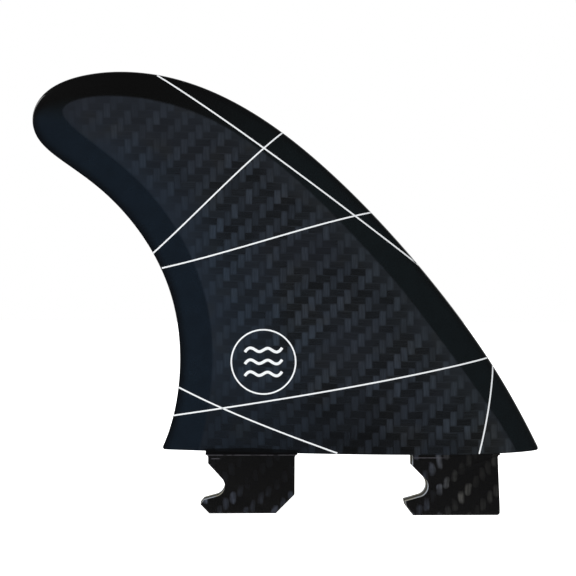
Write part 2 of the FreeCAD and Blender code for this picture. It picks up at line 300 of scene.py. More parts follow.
def blade_material():
    """Woven panel with its plain dark border, all under clear gloss resin."""
    material, shader, tree, add = new_material(
        "carbon twill laminate, clear gloss epoxy",
        Roughness=0.4,
        Specular_IOR_Level=0.05,
        Coat_Weight=1.0,
        Coat_Roughness=0.04,
        Coat_IOR=1.5,
    )
    values = twill(add, BLADE_WANDER)
    place = values["place"]
    for name in ("chord", "span", "panel_depth", "edge_depth"):
        values[name] = add("ShaderNodeAttribute", attribute_name=name, out="Fac")
    values["height"] = add("ShaderNodeSeparateXYZ", {0: place}, out="Z")
    values["forward"] = add("ShaderNodeSeparateXYZ", {0: place}, out="X")
    for name, (size, detail, distortion) in BLADE_CLOUDS.items():
        cloud = {"Vector": place, "Scale": 1 / size, "Detail": detail, "Distortion": distortion}
        values[name] = add("ShaderNodeTexNoise", cloud)

    level = {}
    for name, (value, start, end, at_start, at_end) in BLADE_LEVELS.items():
        limits = {"From Min": start, "From Max": end, "To Min": at_start, "To Max": at_end}
        change = {"Value": values[value], **limits}
        level[name] = add("ShaderNodeMapRange", change, interpolation_type="SMOOTHSTEP")
    for name, parts in BLADE_PRODUCTS.items():
        level[name] = level[parts[0]]
        for part in parts[1:]:
            level[name] = add("ShaderNodeMath", {0: level[name], 1: level[part]}, operation="MULTIPLY")
    for name, darkest in DARKEST.items():
        change = {"Value": level[name], "To Min": 1.0, "To Max": darkest}
        level[name] = add("ShaderNodeMapRange", change, interpolation_type="SMOOTHSTEP")

    # The cloth: one tow on top at each place, each float a little brighter or darker.
    tows = []
    # The upright tow's lighter colour is a painted sheen.
    for colour, shade in ((LYING_TOW, "lying tow"), (SHEENED_UPRIGHT_TOW, "upright tow")):
        tow = {0: colour[:3], "Scale": level[shade]}
        tows.append(add("ShaderNodeVectorMath", tow, operation="SCALE"))
    cloth = {"Factor": values["upright"], "A": tows[0], "B": tows[1]}
    cloth = add("ShaderNodeMix", cloth, **COLOUR_MIX)
    chance = {"Value": values["random"], "To Min": TOW_CHANCE[0], "To Max": TOW_CHANCE[1]}
    chance = add("ShaderNodeMapRange", chance)
    chance = add("ShaderNodeMath", {0: chance, 1: level["fibres"]}, operation="MULTIPLY")
    cloth = add("ShaderNodeVectorMath", {0: cloth, "Scale": chance}, operation="SCALE")

    # The panel: the cloth veiled by resin, then tinted, with a painted blue reflection toward the
    # trailing edge, and darkened.
    panel = {"Factor": level["weave"], "A": VEILED_WEAVE, "B": cloth}
    panel = add("ShaderNodeMix", panel, **COLOUR_MIX)
    front = add("ShaderNodeVectorMath", {0: panel, 1: PANEL_FRONT_TINT}, operation="MULTIPLY")
    rear = add("ShaderNodeVectorMath", {0: panel, 1: BLUE_REFLECTION_TINT}, operation="MULTIPLY")
    panel = add("ShaderNodeMix", {"Factor": level["painted blue reflection in the panel"], "A": front, "B": rear}, **COLOUR_MIX)
    warm = add("ShaderNodeVectorMath", {0: panel, 1: WARM_TINT}, operation="MULTIPLY")
    panel = add("ShaderNodeMix", {"Factor": level["warm patch"], "A": panel, "B": warm}, **COLOUR_MIX)
    for name in ("low rear", "base"):
        panel = add("ShaderNodeVectorMath", {0: panel, "Scale": level[name]}, operation="SCALE")
    pale = add("ShaderNodeVectorMath", {0: panel, 1: PALE_FRONT_TINT}, operation="MULTIPLY")
    panel = {"Factor": level["behind the pale front"], "A": pale, "B": panel}
    panel = add("ShaderNodeMix", panel, **COLOUR_MIX)

    # Painted reflection: the border turns blue toward the trailing edge and near black over the tip.
    border = {"Factor": level["painted blue reflection in the border"], "A": FRONT_BORDER, "B": BLUE_REFLECTION_BORDER}
    border = add("ShaderNodeMix", border, **COLOUR_MIX)
    border = {"Factor": level["over the tip"], "A": border, "B": DARK_REFLECTION_TIP_BORDER}
    border = add("ShaderNodeMix", border, **COLOUR_MIX)
    # The border is darkened by painted shade along the outline, and mottled.
    border = add("ShaderNodeVectorMath", {0: border, "Scale": level["border"]}, operation="SCALE")

    colour = {"Factor": level["inside the panel"], "A": border, "B": panel}
    colour = add("ShaderNodeMix", colour, **COLOUR_MIX)
    # Painted shade of the hollow over the rear tab.
    colour = add("ShaderNodeVectorMath", {0: colour, "Scale": level["painted hollow shade"]}, operation="SCALE")
    tree.links.new(colour, shader.inputs["Base Color"])
    return material


carbon_blade = blade_material()
print("made", carbon_blade.name)

# %% [markdown]
# The tabs are pressed from the same cloth, but their faces are rougher and nearly black: the
# resin lies thicker on them, and only here and there does a tow come up to the surface, as a
# soft upright blotch. A fine ridge of resin under the blade catches a little light. Modelled,
# the ridge would be finer than a pixel, so its glint is a painted highlight, a pale line in
# the colour.

# %% Pressed carbon of the tabs
TAB_WANDER = 0.8
TAB_BLACK = linear("080809")
COOL_TOW = linear("4d5361")
WARM_TOW = linear("4a4a48")
RIDGE_GLINT_AND_DENT = linear("545258")
REAR_RIDGE_Z = -1.0
FRONT_RIDGE_Z = -1.9
RIDGE_HALF = 0.17
DENT_AT = (-41.6, -2.1)
DENT_HALF = (1.6, 0.2)
GRAIN_SIZE = 0.625
GRAIN_DEPTH = 0.05
TAB_LEVELS = {
    # A blotch is a tow's float with ragged edges. Some floats lie deeper, and so do patches.
    "ragged edge": ("fine", 0.3, 0.7, -0.3, 0.3),
    "depth of the float": ("random", 0.05, 0.8, 0.2, 1.0),
    "depth of the patch": ("patches", 0.36, 0.54, 0.35, 1.0),
    "fibres": ("streaks", 0.3, 0.7, 0.5, 1.15),
    "warmer tow": ("forward", 20.0, 32.0, 0.0, 1.0),
    # The rear tab shows its tows near its lower end only, the front tab less toward its front.
    "rear tab": ("height", -9.5, -12.5, 0.05, 1.0),
    "front tab": ("forward", 28.0, 42.0, 1.0, 0.4),
    # The ridge's painted highlight is broken, and dies out half way along the front tab.
    "ridge": ("off the ridge", 0.0, RIDGE_HALF, 1.0, 0.0),
    "broken ridge": ("fine", 0.3, 0.5, 0.0, 1.0),
    "dying ridge": ("forward", 24.0, 30.0, 1.0, 0.0),
    # A short dent lies under it at the back of the rear tab.
    "dent's length": ("along the dent", 0.5 * DENT_HALF[0], DENT_HALF[0], 1.0, 0.0),
    "dent's height": ("off the dent", 0.0, DENT_HALF[1], 0.8, 0.0),
}


def tab_material():
    """Nearly black pressed laminate with soft upright blotches where tows lie near the surface."""
    material, shader, tree, add = new_material(
        "pressed carbon laminate, semi-gloss epoxy",
        Roughness=0.45,
        Specular_IOR_Level=0.1,
        Coat_Weight=0.8,
        Coat_Roughness=0.12,
        Coat_IOR=1.5,
    )
    values = twill(add, TAB_WANDER)
    place = values["place"]
    values["fine"] = add("ShaderNodeTexNoise", {"Vector": place, "Scale": 1 / 2.0, "Detail": 2.0})
    values["patches"] = add("ShaderNodeTexNoise", {"Vector": place, "Scale": 1 / 8.33, "Detail": 2.0})
    # The ridge and the dent are straight, so they don't follow the wandering tows.
    straight = add("ShaderNodeTexCoord", out="Object")
    straight = add("ShaderNodeVectorMath", {0: straight, "Scale": 1 / MM}, operation="SCALE")
    values["height"] = add("ShaderNodeSeparateXYZ", {0: straight}, out="Z")
    values["forward"] = add("ShaderNodeSeparateXYZ", {0: straight}, out="X")
    on_front = add("ShaderNodeMath", {0: values["forward"], 1: 0.0}, operation="GREATER_THAN")
    ridge_z = {"Factor": on_front, "A": REAR_RIDGE_Z, "B": FRONT_RIDGE_Z}
    ridge_z = add("ShaderNodeMix", ridge_z, out="Result")
    middles = {
        "off the ridge": ("height", ridge_z),
        "along the dent": ("forward", DENT_AT[0]),
        "off the dent": ("height", DENT_AT[1]),
    }
    for name, (value, middle) in middles.items():
        offset = add("ShaderNodeMath", {0: values[value], 1: middle}, operation="SUBTRACT")
        values[name] = add("ShaderNodeMath", {0: offset}, operation="ABSOLUTE")

    level = {}
    for name, (value, start, end, at_start, at_end) in TAB_LEVELS.items():
        limits = {"From Min": start, "From Max": end, "To Min": at_start, "To Max": at_end}
        change = {"Value": values[value], **limits}
        level[name] = add("ShaderNodeMapRange", change, interpolation_type="SMOOTHSTEP")

    # The blotch has round corners, because cubes of both distances are added up.
    spread = level["ragged edge"]
    for name in ("side", "length"):
        cube = add("ShaderNodeMath", {0: values[name], 1: 3.0}, operation="POWER")
        spread = add("ShaderNodeMath", {0: spread, 1: cube}, operation="ADD")
    shown = {"Value": spread, "From Min": -0.3, "From Max": 1.0, "To Min": 1.0, "To Max": 0.0}
    shown = add("ShaderNodeMapRange", shown, interpolation_type="SMOOTHSTEP")
    area = {"Factor": on_front, "A": level["rear tab"], "B": level["front tab"]}
    area = add("ShaderNodeMix", area, out="Result")
    depths = (level["depth of the float"], level["depth of the patch"], level["fibres"])
    for share in (values["upright"], *depths, area):
        shown = add("ShaderNodeMath", {0: shown, 1: share}, operation="MULTIPLY")
    tow = {"Factor": level["warmer tow"], "A": COOL_TOW, "B": WARM_TOW}
    tow = add("ShaderNodeMix", tow, **COLOUR_MIX)
    colour = add("ShaderNodeMix", {"Factor": shown, "A": TAB_BLACK, "B": tow}, **COLOUR_MIX)

    # Painted highlight along the ridge, and the pale dent, in one colour.
    ridge = level["ridge"]
    for name in ("broken ridge", "dying ridge"):
        ridge = add("ShaderNodeMath", {0: ridge, 1: level[name]}, operation="MULTIPLY")
    dent = {0: level["dent's length"], 1: level["dent's height"]}
    dent = add("ShaderNodeMath", dent, operation="MULTIPLY")
    glint_and_dent = add("ShaderNodeMath", {0: ridge, 1: dent}, operation="MAXIMUM")
    colour = add("ShaderNodeMix", {"Factor": glint_and_dent, "A": colour, "B": RIDGE_GLINT_AND_DENT}, **COLOUR_MIX)
    tree.links.new(colour, shader.inputs["Base Color"])
    grain = add("ShaderNodeTexNoise", {"Vector": place, "Scale": 1 / GRAIN_SIZE, "Detail": 3.0})
    bump = {"Height": grain, "Strength": 0.25, "Distance": GRAIN_DEPTH * MM}
    bump = add("ShaderNodeBump", bump, out="Normal")
    tree.links.new(bump, shader.inputs["Normal"])
    return material


carbon_tab = tab_material()
print("made", carbon_tab.name)

# %% [markdown]
# The tabs' side walls are machined, so the plies show on them as thin bands: paler plies of
# glass cloth under each face, and dark carbon between the two. The paler bands also carry a
# painted highlight along the wall's edges. Cut fibres scatter the light, so this is the one
# dull surface of the fin. A plain colour would be quicker, but the bands are what tells the
# eye that the part is laid up from cloth. Drawn at their real 0.35 mm they are about a pixel
# wide.

# %% Cut plies of the tabs' walls
PLY = 0.35
GLASS_FROM = 1.1
GLASS_FULL = 1.9
CARBON_PLIES = linear("2b2920")
GLASS_PLIES_AND_HIGHLIGHT = linear("8a9098")
RESIN_RICH_GLASS = linear("878474")
PLY_WANDER = 0.35
PLY_WANDER_SIZE = 1.11
RESIN_PATCH_SIZE = 3.33
PLY_DEPTH = 0.05


def cut_material():
    """Machined edge of the laminate, banded through the tab's thickness."""
    material, shader, tree, add = new_material(
        "machined edge of glass and carbon laminate",
        Roughness=0.75,
        Specular_IOR_Level=0.1,
    )
    place = add("ShaderNodeTexCoord", out="Object")
    place = add("ShaderNodeVectorMath", {0: place, "Scale": 1 / MM}, operation="SCALE")
    rough = {"Vector": place, "Scale": 1 / PLY_WANDER_SIZE, "Detail": 3.0}
    rough = add("ShaderNodeTexNoise", rough)
    wander = {"Value": rough, "To Min": -PLY_WANDER, "To Max": PLY_WANDER}
    wander = add("ShaderNodeMapRange", wander)
    through = add("ShaderNodeSeparateXYZ", {0: place}, out="Y")
    through = add("ShaderNodeMath", {0: through, 1: wander}, operation="ADD")
    from_middle = add("ShaderNodeMath", {0: through}, operation="ABSOLUTE")
    # Paler band under each face: glass plies, and a painted highlight along the wall's edge.
    glass = {"Value": from_middle, "From Min": GLASS_FROM, "From Max": GLASS_FULL}
    glass = add("ShaderNodeMapRange", glass, interpolation_type="SMOOTHSTEP")
    plies = add("ShaderNodeMath", {0: through, 1: 2 * math.pi / PLY}, operation="MULTIPLY")
    plies = add("ShaderNodeMath", {0: plies}, operation="SINE")
    plies = add("ShaderNodeMapRange", {"Value": plies, "From Min": -1.0, "To Min": 0.85, "To Max": 1.1})
    resin_rich = {"Vector": place, "Scale": 1 / RESIN_PATCH_SIZE, "Detail": 1.0}
    resin_rich = add("ShaderNodeTexNoise", resin_rich)
    resin_rich = add("ShaderNodeMapRange", {"Value": resin_rich, "From Min": 0.4, "From Max": 0.6})
    cloth = {"Factor": resin_rich, "A": GLASS_PLIES_AND_HIGHLIGHT, "B": RESIN_RICH_GLASS}
    cloth = add("ShaderNodeMix", cloth, **COLOUR_MIX)
    colour = add("ShaderNodeMix", {"Factor": glass, "A": CARBON_PLIES, "B": cloth}, **COLOUR_MIX)
    colour = add("ShaderNodeVectorMath", {0: colour, "Scale": plies}, operation="SCALE")
    tree.links.new(colour, shader.inputs["Base Color"])
    bump = {"Height": plies, "Strength": 0.2, "Distance": PLY_DEPTH * MM}
    bump = add("ShaderNodeBump", bump, out="Normal")
    tree.links.new(bump, shader.inputs["Normal"])
    return material


cut_plies = cut_material()
print("made", cut_plies.name)

# %% [markdown]
# The hollow between the blade and each tab is filled and smoothed into a shoulder. Its near
# black colour is painted shade of the hollow. Rubbed down by hand, it is duller than the
# blade, and its black is a little cloudy.

# %% Shoulder fillet, near black as painted shade
RESIN_CLOUD_SIZE = 1.67
shoulder_painted_shade, shader, tree, add = new_material(
    "shoulder fillet, black as painted shade",
    Roughness=0.5,
    Specular_IOR_Level=0.15,
    Coat_Weight=0.2,
    Coat_Roughness=0.2,
)
place = add("ShaderNodeTexCoord", out="Object")
cloudy = {"Vector": place, "Scale": 1 / (RESIN_CLOUD_SIZE * MM), "Detail": 2.0}
cloudy = add("ShaderNodeTexNoise", cloudy)
resin = {"Factor": cloudy, "A": linear("050506"), "B": linear("09090b")}
resin = add("ShaderNodeMix", resin, **COLOUR_MIX)
tree.links.new(resin, shader.inputs["Base Color"])
print("made", shoulder_painted_shade.name)

# %% [markdown]
# ## Blade
# The outline is one smooth curve with the same poles as the part: up the leading edge, over
# the tip and down the trailing edge. Blender draws it as a NURBS curve, and it is read back as
# points. Poles are given as shares of the base length and of the depth, and lean back with the
# sweep, so that each size can be changed alone.

# %% Outline
OUTLINE_POLES = [
    (1.000, 0.000),
    (0.983, 0.143),
    (0.896, 0.434),
    (0.624, 0.874),
    (0.327, 1.027),
    (0.003, 0.977),
    (-0.087, 0.802),
    (0.093, 0.710),
    (0.214, 0.405),
    (0.083, 0.102),
    (0.000, 0.000),
]


def smooth_curve(poles, steps):
    """Points along the cubic curve that these (x, z) poles pull into shape, ends included."""
    data = bpy.data.curves.new("guide curve", "CURVE")
    data.dimensions = "3D"
    data.resolution_u = steps
    spline = data.splines.new("NURBS")
    spline.points.add(len(poles) - 1)
    for point, (x, z) in zip(spline.points, poles):
        point.co = (x, 0, z, 1)
    spline.order_u = 4
    spline.use_endpoint_u = True
    guide = bpy.data.objects.new("guide curve", data)
    mesh = guide.to_mesh()
    points = [vertex.co.copy() for vertex in mesh.vertices]
    guide.to_mesh_clear()
    bpy.data.objects.remove(guide)
    bpy.data.curves.remove(data)
    return points


def along(points, share):
    """The point at this share of the length of a line of points."""
    lengths = [0.0]
    for before, after in zip(points, points[1:]):
        lengths.append(lengths[-1] + (after - before).length)
    target = share * lengths[-1]
    for i in range(1, len(points)):
        if lengths[i] >= target:
            part = (target - lengths[i - 1]) / max(lengths[i] - lengths[i - 1], 1e-9)
            return points[i - 1].lerp(points[i], part)
    return points[-1].copy()


poles = []
for share, up in OUTLINE_POLES:
    poles.append((-BASE_LENGTH / 2 + share * BASE_LENGTH - SWEEP * up, up * DEPTH))
outline = smooth_curve(poles, steps=32)
tip_index = min(range(len(outline)), key=lambda i: outline[i].x)
leading = outline[: tip_index + 1]
trailing = outline[tip_index:][::-1]
print("outline points", len(outline), "tip", outline[tip_index])

# %% [markdown]
# The outer face is foiled like a wing: a round nose, fullest a third of the way back, and a
# fine tail. The blade thins from the base to the tip. Near the tip the foil flattens out, and
# the edge is thin and blunt all round. One formula gives all of this, so the skin is smooth
# without any smoothing afterwards.

# %% Thickness of the blade
ROOT_THICKNESS = 7.2
TIP_THICKNESS = 2.0
LEADING_EDGE_THICKNESS = 0.2
TRAILING_EDGE_THICKNESS = 0.9
NOSE_POWER = 0.5
FULLEST_AT = NOSE_POWER / (1 + NOSE_POWER)
FLAT_TIP_FROM = 0.88
FLAT_TIP_POWER = 1.5
FLAT_TIP_LOSS = 0.4


def blade_thickness(chord, span):
    """Thickness at a share of the chord, from nose to tail, and a share of the span."""
    peak = FULLEST_AT**NOSE_POWER * (1 - FULLEST_AT)
    fullness = chord**NOSE_POWER * (1 - chord) / peak
    edge = LEADING_EDGE_THICKNESS + (TRAILING_EDGE_THICKNESS - LEADING_EDGE_THICKNESS) * chord
    full = ROOT_THICKNESS + (TIP_THICKNESS - ROOT_THICKNESS) * span
    toward_tip = max(0.0, (span - FLAT_TIP_FROM) / (1 - FLAT_TIP_FROM)) ** FLAT_TIP_POWER
    full *= 1 - FLAT_TIP_LOSS * toward_tip
    edge += (full - edge) * toward_tip
    return edge + (full - edge) * fullness


print("thickest at the base", blade_thickness(FULLEST_AT, 0), "mm")

# %% [markdown]
# The skin is a grid: its rows are the chords from the leading to the trailing edge, and they
# close up at the tip. Points lie closer together at the nose, the tail and the tip, where the
# shape turns most. The two base corners have a small round.

# %% Blade mesh
CHORD_CELLS = 120
SPAN_CELLS = 150
CORNER_ZONE = 3.0
BESIDE_CORNER = 2.0
BOW_DIES_OUT_AT = 1 / 6


def eased(share):
    """A share from 0 to 1 with small steps at both ends."""
    return (1 - math.cos(math.pi * share)) / 2


def base_bow(x):
    """Height of the gently bowed base at a place along it. It is lowest forward of the middle."""
    half = BASE_LENGTH / 2
    inside = min(max(x, -half), half)
    # t is the share along a quadratic curve whose middle pole is moved forward.
    a, b = 2 * BASE_BOW_FORWARD + half, 2 * BASE_BOW_FORWARD
    t = (a - math.sqrt(a**2 - 2 * b * (inside + half))) / (2 * b)
    return -4 * BASE_BOW * t * (1 - t)


def rounded_corner(point, corner, base_point, edge_point):
    """Pulls a side view point that lies outside the small round of a base corner onto it."""
    base = (base_point - corner).normalized()
    edge = (edge_point - corner).normalized()
    half = base.angle(edge) / 2
    centre = corner + (base + edge).normalized() * (CORNER_RADIUS / math.sin(half))
    reach = CORNER_RADIUS / math.tan(half)
    from_corner = point - corner
    outside = point - centre
    near = from_corner.dot(base) < reach and from_corner.dot(edge) < reach
    if near and outside.length > CORNER_RADIUS:
        return centre + outside.normalized() * CORNER_RADIUS
    return point


def blade_point(across, up):
    """Place of a point of the outer skin, from nose to tail and base to tip, with both its shares."""
    chord, span = eased(across), eased(up)
    point = along(leading, span).lerp(along(trailing, span), chord)
    point.z += base_bow(point.x) * max(0.0, 1 - span / BOW_DIES_OUT_AT) ** 2
    for edge, inward in ((leading, -1), (trailing, 1)):
        corner = edge[0]
        if (point - corner).length < CORNER_ZONE:
            x = corner.x + inward * BESIDE_CORNER
            beside = Vector((x, 0, base_bow(x)))
            point = rounded_corner(point, corner, beside, along(edge, 0.02))
    point.y = INNER_Y - blade_thickness(chord, span)
    return point, chord, span


def vertices_of(grown):
    """The vertices among the elements that an operator has made."""
    return [item for item in grown if isinstance(item, bmesh.types.BMVert)]


def finish_mesh(bm, name, materials, smooth_angle):
    """Turns a millimetre bmesh into an object in metres that rides on the fin's body."""
    bmesh.ops.scale(bm, vec=(MM, MM, MM), verts=bm.verts)
    bmesh.ops.recalc_face_normals(bm, faces=bm.faces)
    mesh = bpy.data.meshes.new(name)
    bm.to_mesh(mesh)
    bm.free()
    for material in materials:
        mesh.materials.append(material)
    mesh.shade_smooth()
    mesh.set_sharp_from_angle(angle=math.radians(smooth_angle))
    piece = bpy.data.objects.new(name, mesh)
    bpy.context.scene.collection.objects.link(piece)
    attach(piece, "root")
    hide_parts("fin")
    return piece


print("grid of", CHORD_CELLS, "by", SPAN_CELLS)

# %% [markdown]
# Each point of the skin carries how deep it lies inside the woven panel and inside the outline.
# Both are distances to a line of points, looked up in a tree, which stays fast for thousands of
# them. The outer skin is a grid, bent to shape; a flat copy of it is the inner face, and a
# bridge between the two is the thin edge. A solid cut to its outline would give the same shape,
# but the grid keeps its points in rows, so the reflections run smoothly.

# %% Blade
PANEL_POLES = [
    (-47.3, -2.5),
    (-43.5, 11.1),
    (-38.7, 42.5),
    (-63.3, 86.0),
    (-105.0, 105.8),
    (-44.0, 111.0),
    (10.1, 54.3),
    (15.8, 47.9),
    (50.5, 1.9),
    (50.6, -2.6),
]
ON_EDGE = 2.0
panel_edge = smooth_curve(PANEL_POLES, steps=48)


def point_tree(points):
    """A tree that finds the nearest of these points."""
    tree = KDTree(len(points))
    for i, point in enumerate(points):
        tree.insert(point, i)
    tree.balance()
    return tree


panel_tree = point_tree(panel_edge)
outline_tree = point_tree(outline)


def panel_depth(point):
    """How deep a side view place lies inside the woven panel, in mm, and below 0 outside it."""
    flat = Vector((point.x, 0, point.z))
    nearest, i, distance = panel_tree.find(flat)
    after = panel_edge[min(i + 1, len(panel_edge) - 1)]
    before = panel_edge[max(i - 1, 0)]
    ahead = (after - before).normalized()
    # The edge runs up the trailing side and down the leading side, so inside is to its right.
    inward = (flat - nearest).dot(Vector((ahead.z, 0, -ahead.x)))
    return inward if distance < ON_EDGE else math.copysign(distance, inward)


def blade_mesh():
    """Outer skin as a grid, a flat copy of it for the inner face, and the thin edge between them."""
    bm = bmesh.new()
    names = ("panel_depth", "edge_depth", "chord", "span")
    layers = [bm.verts.layers.float.new(name) for name in names]
    bmesh.ops.create_grid(bm, x_segments=CHORD_CELLS, y_segments=SPAN_CELLS, size=1.0)
    for vertex in bm.verts:
        vertex.co, chord, span = blade_point((vertex.co.x + 1) / 2, (vertex.co.y + 1) / 2)
        edge_depth = outline_tree.find(Vector((vertex.co.x, 0, vertex.co.z)))[2]
        for layer, value in zip(layers, (panel_depth(vertex.co), edge_depth, chord, span)):
            vertex[layer] = value
    for vertex in vertices_of(bmesh.ops.duplicate(bm, geom=list(bm.faces))["geom"]):
        vertex.co.y = INNER_Y
    rim = [edge for edge in bm.edges if edge.is_boundary]
    bmesh.ops.bridge_loops(bm, edges=rim)
    bmesh.ops.remove_doubles(bm, verts=bm.verts, dist=SAME_PLACE)
    return bm


blade = finish_mesh(blade_mesh(), "blade", [carbon_blade], smooth_angle=40)
print("blade faces", len(blade.data.polygons))

# %% [markdown]
# ## Tabs
# Each tab is a flat tongue moulded with the blade. A hooked notch at its rear side catches a
# sprung bar in the board's fin box: a slope leads the bar in, a round seat holds it, and a lip
# keeps it there. The side view is drawn with sharp corners, and only the seat is spun, about the
# bar's middle. A boolean could cut the notch from a block, but a drawn side view leaves clean
# faces and sharp, even edges.

# %% Side view of a tab
HOOK_RADIUS = 3.25
LIP_SLOPE = math.radians(15.5)
LIP_FOOT_BACK = 1.3
ROOT_FLARE = 0.8
SHOULDER_DROP = 0.95
SEAT_STEPS = 24
BEYOND_FLARE = 0.02
TOP_RISE = 0.01


def notch_ends(throat, hook, lip_reach):
    """Where the slope touches the notch's round seat, how far the seat turns, and the end of the lip."""
    toward = hook - throat
    heading = math.atan2(toward.y, toward.x) + math.asin(HOOK_RADIUS / toward.length)
    seat_start = hook + Vector((-math.sin(heading), math.cos(heading))) * HOOK_RADIUS
    turn = math.pi + heading - LIP_SLOPE
    seat_end = hook + Vector((math.sin(LIP_SLOPE), -math.cos(LIP_SLOPE))) * HOOK_RADIUS
    reach = (lip_reach + HOOK_RADIUS * math.sin(LIP_SLOPE)) / math.cos(LIP_SLOPE)
    lip_end = seat_end - Vector((math.cos(LIP_SLOPE), math.sin(LIP_SLOPE))) * reach
    return seat_start, turn, lip_end


def tab_side_view(bm, hook, side_x, depth, throat_drop, lip_reach, lip_tip, far_corners, far_x):
    """Draws a tab's side view as one face, from the rear side of its root round to the front.

    Gives the corners that are to be rounded, each with its radius.
    """
    seat_start, turn, lip_end = notch_ends(Vector((side_x, -throat_drop)), hook, lip_reach)
    top = -SHOULDER_DROP

    def corner(x, z):
        return bm.verts.new((x, TAB_FACE_Y, z))

    # Both ends of the root reach a trace past the flare, so that its round has room.
    beyond, above = ROOT_FLARE + BEYOND_FLARE, top + TOP_RISE
    points = [corner(side_x - beyond, above), corner(side_x, top), corner(side_x, -throat_drop)]
    rounded = [(points[1], ROOT_FLARE)]
    # The seat is turned about the middle of the bar that the notch holds.
    count = len(bm.verts)
    seat = corner(seat_start.x, seat_start.y)
    bmesh.ops.spin(
        bm,
        geom=[seat],
        cent=(hook.x, TAB_FACE_Y, hook.y),
        axis=(0, 1, 0),
        angle=turn,
        steps=SEAT_STEPS,
        use_duplicate=False,
    )
    points += list(bm.verts)[count:]
    points += [corner(lip_end.x, lip_end.y), corner(hook.x + lip_tip[0], hook.y + lip_tip[1])]
    points.append(corner(hook.x - LIP_FOOT_BACK, -depth))
    for x, z, radius in far_corners:
        points.append(corner(x, z))
        if radius:
            rounded.append((points[-1], radius))
    points += [corner(far_x, top), corner(far_x + beyond, above)]
    rounded.append((points[-2], ROOT_FLARE))
    bm.faces.new(points)
    return rounded


print("seat radius", HOOK_RADIUS, "mm")

# %% [markdown]
# The corners that are round on the real tab are bevelled as points of the side view, the face is
# extruded to the tab's thickness, and the edges at the lower end are eased, as filed ones are.
# All other sharp edges lose a tenth of a millimetre, because no real edge is quite sharp and a
# narrow bevel catches the light. Bevels by operator, not by modifier, can differ on each edge.

# %% Round corners and eased edges of a tab
ROUND_STEPS = 12
TAB_EDGE_RADIUS = 0.35
EASED_STEPS = 4
EASED_ZONE = 3.0
ARRIS = 0.1
ARRIS_STEPS = 2
SHARP = math.radians(60)
EVEN = {"offset_type": "OFFSET", "profile": 0.5, "material": -1}


def tab_mesh(hook, side_x, depth, *view):
    """The side view with its round corners, given its thickness and eased at its lower end."""
    bm = bmesh.new()
    for point, radius in tab_side_view(bm, hook, side_x, depth, *view):
        ends = [edge.other_vert(point).co - point.co for edge in point.link_edges]
        half = ends[0].angle(ends[1]) / 2
        bevel = {"offset": radius / math.tan(half), "segments": ROUND_STEPS, **EVEN}
        bmesh.ops.bevel(bm, geom=[point], affect="VERTICES", **bevel)
    for vertex in vertices_of(bmesh.ops.extrude_face_region(bm, geom=list(bm.faces))["geom"]):
        vertex.co.y = -TAB_FACE_Y
    low_edges = []
    for edge in bm.edges:
        first, second = edge.verts
        flat = abs(first.co.y - second.co.y) < SAME_PLACE
        if flat and (first.co.z + second.co.z) / 2 < EASED_ZONE - depth:
            low_edges.append(edge)
    bevel = {"offset": TAB_EDGE_RADIUS, "segments": EASED_STEPS, **EVEN}
    bmesh.ops.bevel(bm, geom=low_edges, affect="EDGES", **bevel)
    # The sharp edges are broken a trace, apart from the top ones, which lie in the shoulder.
    sharp = []
    for edge in bm.edges:
        first, second = edge.verts
        flat = min(abs(first.co.y), abs(second.co.y)) > TAB_FACE_Y - SAME_PLACE
        hidden = min(first.co.z, second.co.z) > TOP_RISE / 2 - SHOULDER_DROP
        if flat and not hidden and edge.calc_face_angle(0) > SHARP:
            sharp.append(edge)
    bevel = {"offset": ARRIS, "segments": ARRIS_STEPS, **EVEN}
    bmesh.ops.bevel(bm, geom=sharp, affect="EDGES", **bevel)
    # The two bevels leave a few doubled points where they meet.
    bmesh.ops.remove_doubles(bm, verts=bm.verts, dist=SAME_PLACE)
    return bm


print("edges eased by", TAB_EDGE_RADIUS, "mm")

# %% [markdown]
# Toward its edges the blade is thinner than the tabs. Over each tab lies a hollow shoulder of
# resin, which runs the tab's outer face up into the blade. It is a grid whose rows follow a
# hollow curve from the tab's face to just inside the skin, so it ends without a step. One mesh
# holds a tab and its shoulder, with a material for the faces, one for the cut walls and one for
# the shoulder.

# %% Shoulder of a tab
SHOULDER_RISE = 1.4
SHOULDER_SINK = 0.3
SHOULDER_CELLS = (40, 10)
WALL_TILT = 0.3


def add_shoulder(bm, start_x, end_x):
    """Hollow shoulder over a tab, which runs its outer face up into the thinner blade."""
    long, high = SHOULDER_CELLS
    grid = bmesh.ops.create_grid(bm, x_segments=long, y_segments=high, size=1.0)["verts"]
    faces = {face for vertex in grid for face in vertex.link_faces}
    for vertex in grid:
        x = start_x + (end_x - start_x) * (vertex.co.x + 1) / 2
        t = (vertex.co.y + 1) / 2
        skin_y = INNER_Y - blade_thickness((BASE_LENGTH / 2 - x) / BASE_LENGTH, 0.0)
        in_y = max(skin_y, -TAB_FACE_Y) + SHOULDER_SINK
        y = -TAB_FACE_Y * (1 - t) ** 2 + in_y * (1 - (1 - t) ** 2)
        vertex.co = (x, y, -SHOULDER_DROP + SHOULDER_RISE * t**2)
    for vertex in vertices_of(bmesh.ops.extrude_face_region(bm, geom=list(faces))["geom"]):
        vertex.co.y = TAB_FACE_Y


def tab(name, hook, side_x, depth, throat_drop, lip_reach, lip_tip, far_corners, far_x):
    """One tab with its shoulder. Its side walls show the cut plies."""
    bm = tab_mesh(hook, side_x, depth, throat_drop, lip_reach, lip_tip, far_corners, far_x)
    bm.normal_update()
    for face in bm.faces:
        face.material_index = 1 if abs(face.normal.y) < WALL_TILT else 0
    tab_faces = set(bm.faces)
    add_shoulder(bm, side_x - ROOT_FLARE, far_x + ROOT_FLARE)
    for face in bm.faces:
        if face not in tab_faces:
            face.material_index = 2
    return finish_mesh(bm, name, [carbon_tab, cut_plies, shoulder_painted_shade], smooth_angle=30)


print("shoulder", SHOULDER_RISE, "mm high")

# %% [markdown]
# The two tabs differ a little in the throat, reach and tip of their notches. The rear one has a
# cut-off lower front corner, the front one a raked front side and a round toe. So both come from
# the same function, with their own sizes.

